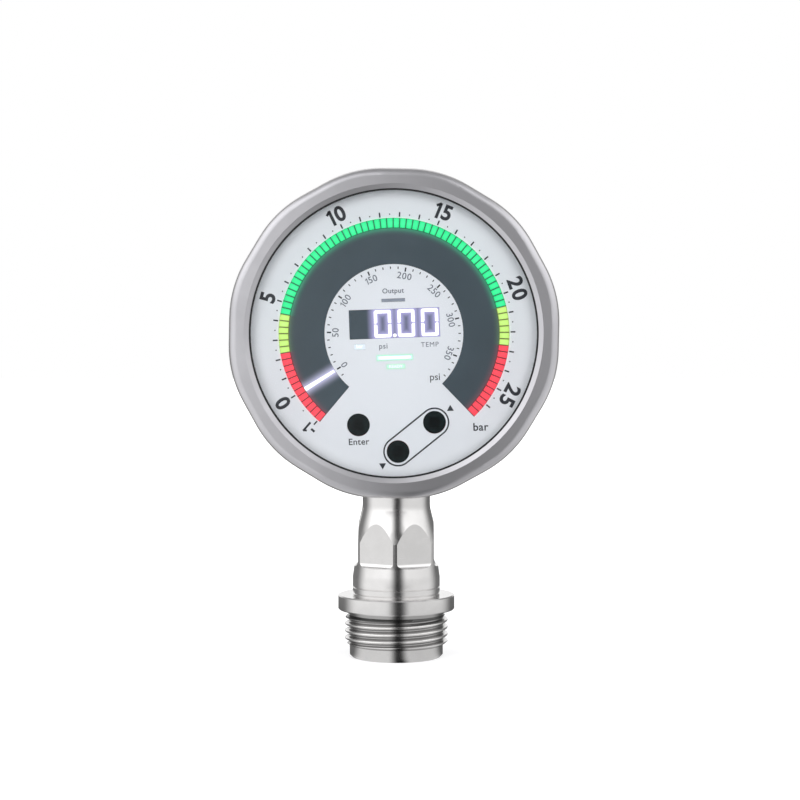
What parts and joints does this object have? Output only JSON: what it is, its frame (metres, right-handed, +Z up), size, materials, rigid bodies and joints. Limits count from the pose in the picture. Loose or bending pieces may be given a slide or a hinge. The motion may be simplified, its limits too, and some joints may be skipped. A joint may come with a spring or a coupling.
{
  "type": "pressure gauge sensor",
  "caption": "Electronic pressure gauge with a round lit dial, ring bezel and drum case on a turned stem with a pipe thread and spanner flats.",
  "frame": {"origin": "on the stem's axis, at the stem's bottom face", "axes": "+Z up along the stem, the dial faces -Y, +X to the right seen from the front"},
  "size_m": [0.102, 0.069, 0.1553],
  "materials": {
    "stem_steel": "turned and polished stainless steel",
    "case_steel": "satin stainless steel",
    "bezel_steel": "fine ground stainless steel",
    "fastener_steel": "plain steel",
    "contact_gold": "gold plated",
    "seal_rubber": "matt black",
    "front_glass": "clear laminated safety glass",
    "cell_ceramic": "matt white",
    "bush_plastic": "natural bearing plastic",
    "black_plastic": "moulded, matt black",
    "dial_white": "printed, pale bluish white",
    "smoke_window": "dark slate, translucent",
    "touch_black": "infrared window, black",
    "display_face": "dark slate",
    "board_green": "solder mask",
    "chip_black": "moulded",
    "led_white": "light source body",
    "cable_grey": "cable sheath",
    "lamp_off": "unlit light guide, grey",
    "light_red": "lit red diffuser",
    "light_yellow": "lit yellow-green diffuser",
    "light_green": "lit green diffuser",
    "light_white": "lit white light guide",
    "light_mint": "lit mint light guide"
  },
  "bodies": {
    "process": {"process_connection": "stem_steel", "cell_clamp_ring": "stem_steel", "cell_seal": "seal_rubber", "measuring_cell": "cell_ceramic", "cell_pins": "contact_gold", "cell_board": "board_green", "cell_cable": "cable_grey", "cell_plug": "black_plastic", "swivel_seal": "seal_rubber", "swivel_stop_ring": "fastener_steel", "swivel_clip": "fastener_steel"},
    "case": {"swivel_bush": "bush_plastic", "swivel_stop_pin": "fastener_steel", "case_shell": "case_steel", "connector_shell": "fastener_steel", "connector_insert": "black_plastic", "connector_contacts": "contact_gold", "connector_seal": "seal_rubber", "connector_nut": "fastener_steel", "vent_plug": "fastener_steel", "power_board": "board_green", "power_board_screws": "fastener_steel", "cell_socket": "black_plastic", "head_socket": "black_plastic", "dial_stop_pin": "fastener_steel", "head_seal": "seal_rubber", "head_clip": "fastener_steel"},
    "dial_head": {"head_ring": "case_steel", "bezel_ring": "bezel_steel", "glass_gasket": "seal_rubber", "front_glass": "front_glass", "dial_plate": "dial_white", "light_frame": "black_plastic", "red_segments": "light_red", "yellow_segments": "light_yellow", "green_segments": "light_green", "pointer_window": "smoke_window", "pointer_light": "light_white", "output_lamp": "lamp_off", "ready_lamp": "light_mint", "ready_label_lamp": "light_mint", "unit_lamp": "light_white", "display_module": "display_face", "reading_segments": "light_white", "touch_windows": "touch_black", "touch_emitters": "chip_black", "segment_leds": "led_white", "led_board": "board_green", "board_spacers": "black_plastic", "processor_board": "board_green", "processor_chips": "chip_black", "head_screws": "fastener_steel", "head_cable": "cable_grey", "head_plug": "black_plastic"}
  },
  "joints": [
    {"name": "case_swivel", "type": "hinge", "parent": "process", "child": "case", "pos_m": [0, 0, 0.0575], "axis": [0, 0, 1], "range_deg": [-170, 170]},
    {"name": "dial_turn", "type": "hinge", "parent": "case", "child": "dial_head", "pos_m": [0, -0.018, 0.1043], "axis": [0, -1, 0], "range_deg": [-172, 172]}
  ]
}
